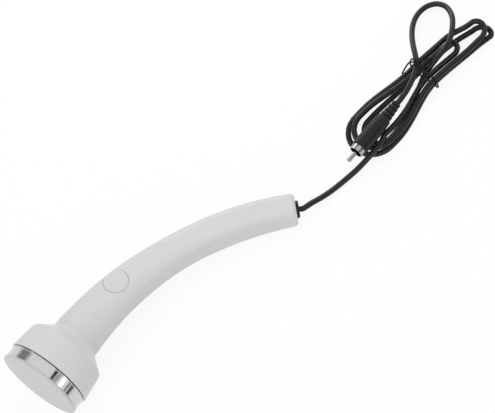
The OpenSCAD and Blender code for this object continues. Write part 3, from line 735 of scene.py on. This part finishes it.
def grip_height(x, y):
    """The height of the whole grip's surface in the button's frame."""
    above = 40
    hit = front_form.ray_cast(from_button(x, y, above), -(button_rot @ Vector((0, 0, 1))))
    return in_button(hit[0]).z


def circle_at(r):
    turns = [2 * pi * k / button_ring_n for k in range(button_ring_n)]
    return [(r * cos(a), r * sin(a)) for a in turns]


def button_ring(verts, r, lift):
    """Adds a ring about the button's axis, lift above the grip's surface, and returns its point numbers."""
    first = len(verts)
    verts += [from_button(x, y, grip_height(x, y) + lift) for x, y in circle_at(r)]
    return list(range(first, len(verts)))


def quarter_round(r):
    """How far off the wall and how far down the steps of a rounded edge lie."""
    return [(r * (1 - sin(radians(a))), r * (1 - cos(radians(a)))) for a in (22, 45, 68, 90)]


def border_of(faces):
    """The outer edge of a patch of faces, as a loop of point numbers."""
    edges = dict.fromkeys(pair for face in faces for pair in zip(face, face[1:] + face[:1]))
    after = {a: b for a, b in edges if (b, a) not in edges}
    loop = [next(iter(after))]
    while after[loop[-1]] != loop[0]:
        loop.append(after[loop[-1]])
    return loop


def within(p, polygon):
    odd = False
    for a, b in zip(polygon, polygon[1:] + polygon[:1]):
        if (a.y > p.y) != (b.y > p.y) and p.x < (b.x - a.x) * (p.y - a.y) / (b.y - a.y) + a.x:
            odd = not odd
    return odd


def cut_hole(verts, faces):
    """Takes out the faces at the button, fills the patch up to a circle and adds the hole's rounded wall.

    Returns the shell's new faces.
    """
    upper_z = 4  # the button's side of the grip lies above this
    patch_margin = 1.1
    point_margin = 0.45
    local = [in_button(v) for v in verts]
    near = {i for i, p in enumerate(local)
            if p.z > upper_z and hypot(p.x, p.y) < rim_of_hole_r + patch_margin}
    cut = [face for face in faces if any(i in near for i in face)]
    kept = [face for face in faces if not any(i in near for i in face)]
    loop = border_of(cut)
    inside = [i for i in {i for face in cut for i in face} - set(loop)
              if hypot(local[i].x, local[i].y) > rim_of_hole_r + point_margin]
    border = [Vector((local[i].x, local[i].y)) for i in loop]
    flat = border + [Vector(p) for p in circle_at(rim_of_hole_r)]
    flat += [Vector((local[i].x, local[i].y)) for i in inside]
    edges = []
    for first, count in ((0, len(loop)), (len(loop), button_ring_n)):
        edges += [(first + k, first + (k + 1) % count) for k in range(count)]
    points, _, triangles, sources, _, _ = delaunay_2d_cdt(flat, edges, [], 0, 1e-6)
    ring = button_ring(verts, rim_of_hole_r, 0)
    numbers = loop + ring + inside
    for triangle in triangles:
        a, b, c = (points[i] for i in triangle)
        middle = (a + b + c) / 3
        if middle.length > rim_of_hole_r * 0.9999 and within(middle, border):
            faces_up = (b - a).cross(c - a) > 0
            kept.append([numbers[sources[i][0]] for i in (triangle if faces_up else triangle[::-1])])
    wall = [(hole_r + off, -down) for off, down in quarter_round(hole_edge)] + [(hole_r, -hole_l)]
    for r, lift in wall:
        below = button_ring(verts, r, lift)
        kept += band(ring, below)
        ring = below
    return kept


front_faces = cut_hole(front_verts, front_faces)
close_end(front_verts, front_row, front_faces, 1)
mesh_piece("grip_front", front_verts, front_faces, "shell", "front_shell")
rear_verts, rear_row, rear_faces = shell_grid(-1)
close_end(rear_verts, rear_row, rear_faces, -1)
mesh_piece("grip_rear", rear_verts, rear_faces, "shell", "rear_shell")

# the button follows the grip's surface, a little proud of it, with a rounded edge
cap_verts = [from_button(0, 0, grip_height(0, 0) + cap_proud)]
cap_faces = []
cap_rings = [((cap_r - cap_edge) * k / 10, 0) for k in range(1, 11)]
cap_rings += [(cap_r - off, down) for off, down in quarter_round(cap_edge)] + [(cap_r, cap_l)]
ring = [0] * button_ring_n
for r, down in cap_rings:
    outer = button_ring(cap_verts, r, cap_proud - down)
    cap_faces += band(ring, outer, flip=True)
    ring = outer
mesh_piece("push_button", cap_verts, cap_faces, "button", "button_cap", "button")


# ---------------------------------------------------------------- stage and light
def shown_and_lit(tree, shown, lit):
    """What the camera, reflections and glass see gets one shader, the light on the object another."""
    rays = add(tree, "LightPath").outputs
    is_shown = rays["Is Camera Ray"]
    for kind in ("Is Glossy Ray", "Is Transmission Ray"):
        either = add(tree, "Math", operation="MAXIMUM")
        tree.links.new(is_shown, either.inputs[0])
        tree.links.new(rays[kind], either.inputs[1])
        is_shown = either.outputs[0]
    mix = add(tree, "MixShader")
    tree.links.new(is_shown, mix.inputs[0])
    tree.links.new(lit, mix.inputs[1])
    tree.links.new(shown, mix.inputs[2])
    return mix.outputs[0]


floor_half = 3
floor_data = bpy.data.meshes.new("floor")
floor_data.from_pydata([(x * floor_half, y * floor_half, 0) for x, y in ((-1, -1), (1, -1), (1, 1), (-1, 1))],
                       [], [(0, 1, 2, 3)])
floor = bpy.data.objects.new("floor", floor_data)
floor.location.z = -0.0002
scene.collection.objects.link(floor)

# white paper, which mostly glows where it is seen, so that little of the object's shadow shows
floor_material = bpy.data.materials.new("floor")
floor_data.materials.append(floor_material)
floor_tree = blank_tree(floor_material)
paper = add(floor_tree, "BsdfDiffuse", {"Color": (0.8, 0.8, 0.8, 1)})
glow = add(floor_tree, "Emission", {"Strength": 1.08})
glowing_paper = add(floor_tree, "MixShader", {0: 0.8})
floor_tree.links.new(paper.outputs[0], glowing_paper.inputs[1])
floor_tree.links.new(glow.outputs[0], glowing_paper.inputs[2])
floor_tree.links.new(shown_and_lit(floor_tree, glowing_paper.outputs[0], paper.outputs[0]),
                     add(floor_tree, "OutputMaterial").inputs[0])

world = bpy.data.worlds.new("world")
scene.world = world
world_tree = blank_tree(world)
sky = add(world_tree, "Background", {"Color": (1, 1, 1, 1), "Strength": 0.67})
clear = add(world_tree, "Background", {"Color": (1, 1, 1, 1), "Strength": 1})
world_tree.links.new(shown_and_lit(world_tree, clear.outputs[0], sky.outputs[0]),
                     add(world_tree, "OutputWorld").inputs[0])


def lamp(name, place, aim, width, watts):
    """A square lamp, which metal doesn't mirror."""
    data = bpy.data.lights.new(name, "AREA")
    data.shape = "SQUARE"
    data.size = width
    data.energy = watts
    obj = bpy.data.objects.new(name, data)
    obj.location = place
    obj.rotation_euler = (Vector(aim) - Vector(place)).to_track_quat("-Z", "Y").to_euler()
    obj.visible_glossy = False
    scene.collection.objects.link(obj)


def card(name, place, facing, along, width, length, tone, core=0.4):
    """An oval card that only glossy rays see, for metal and black plastic to mirror.

    It has the tone out to core, a share of its size, and fades to white at its edge.
    """
    data = bpy.data.meshes.new(name)
    rim = [radians(a) for a in range(0, 360, 10)]
    data.from_pydata([(cos(a) * width / 2, sin(a) * length / 2, 0) for a in rim], [], [range(len(rim))])
    made = bpy.data.materials.new(name)
    data.materials.append(made)
    tree = blank_tree(made)
    link = tree.links.new
    scale = add(tree, "Mapping", {"Scale": (2 / width, 2 / length, 0)})
    from_middle = add(tree, "VectorMath", operation="LENGTH")
    fade = add(tree, "MapRange", {"From Min": core, "From Max": 1, "To Min": tone, "To Max": 1},
               interpolation_type="SMOOTHSTEP")
    shine = add(tree, "Emission")
    link(add(tree, "TexCoord").outputs["Object"], scale.inputs["Vector"])
    link(scale.outputs[0], from_middle.inputs[0])
    link(from_middle.outputs["Value"], fade.inputs["Value"])
    link(fade.outputs["Result"], shine.inputs["Strength"])
    link(shine.outputs[0], add(tree, "OutputMaterial").inputs[0])
    obj = bpy.data.objects.new(name, data)
    z = Vector(facing).normalized()
    x = Vector(along).normalized().cross(z).normalized()
    turn = Matrix((x, z.cross(x), z)).transposed().to_4x4()
    obj.matrix_world = Matrix.Translation(place) @ turn
    for ray in ("camera", "diffuse", "shadow", "transmission", "volume_scatter"):
        setattr(obj, "visible_" + ray, False)
    scene.collection.objects.link(obj)


head_at = Vector((-0.097, -0.003, 0.032))


def hung_card(name, azimuth, elevation, away=0.6, **sizes):
    """A card hung away from the head, upright and facing it. Its azimuth and elevation are in degrees."""
    a, e = radians(azimuth), radians(elevation)
    out = Vector((cos(a) * cos(e), sin(a) * cos(e), sin(e)))
    up = (-cos(a) * sin(e), -sin(a) * sin(e), cos(e))
    card(name, head_at + away * out, -out, up, **sizes)


# what the chrome band mirrors: a card behind the head, four in front of it from high to low, and the floor's
hung_card("card_left", 94, 27, width=0.6, length=0.58, tone=0.28, core=0.3)
hung_card("card_dark", -46, 49, width=0.24, length=0.13, tone=0.01, core=0.6)
hung_card("card_grey", -51, 40, away=0.64, width=0.3, length=0.24, tone=0.5, core=0.5)
hung_card("card_white", -56, 22, width=0.36, length=0.18, tone=2.2, core=0.3)
hung_card("card_low", -58, 3, width=0.3, length=0.12, tone=0.25)
card("card_floor", (0.085, -0.316, 0.001), (0, 0, 1), (0.5, -0.866, 0),
     width=0.16, length=0.5, tone=0.1, core=0.6)
# over the cords: a dark flag above, another to their lower right, and a bright strip to their upper left
card("card_over", (0.32, 0.255, 0.48), (-0.186, -0.421, -0.887), (-0.259, 0.966, 0),
     width=0.34, length=0.3, tone=0.05)
card("card_side", (0.4, -0.285, 0.17), (-0.5, 0.78, -0.37), (-0.2, 0.3, 0.93),
     width=0.36, length=0.36, tone=0.03)
card("card_strip", (0.31, 0.565, 0.25), (-0.186, -0.893, -0.41), (0, -0.41, 0.893),
     width=0.9, length=0.16, tone=7)
lamp("key", (-1.5, -0.6, 0.8), aim=(0.05, 0, 0), width=1.2, watts=4.4)
lamp("fill", (0.35, 0.3, 0.7), aim=(0.1, 0, 0), width=0.6, watts=1.1)

bpy.context.view_layer.update()
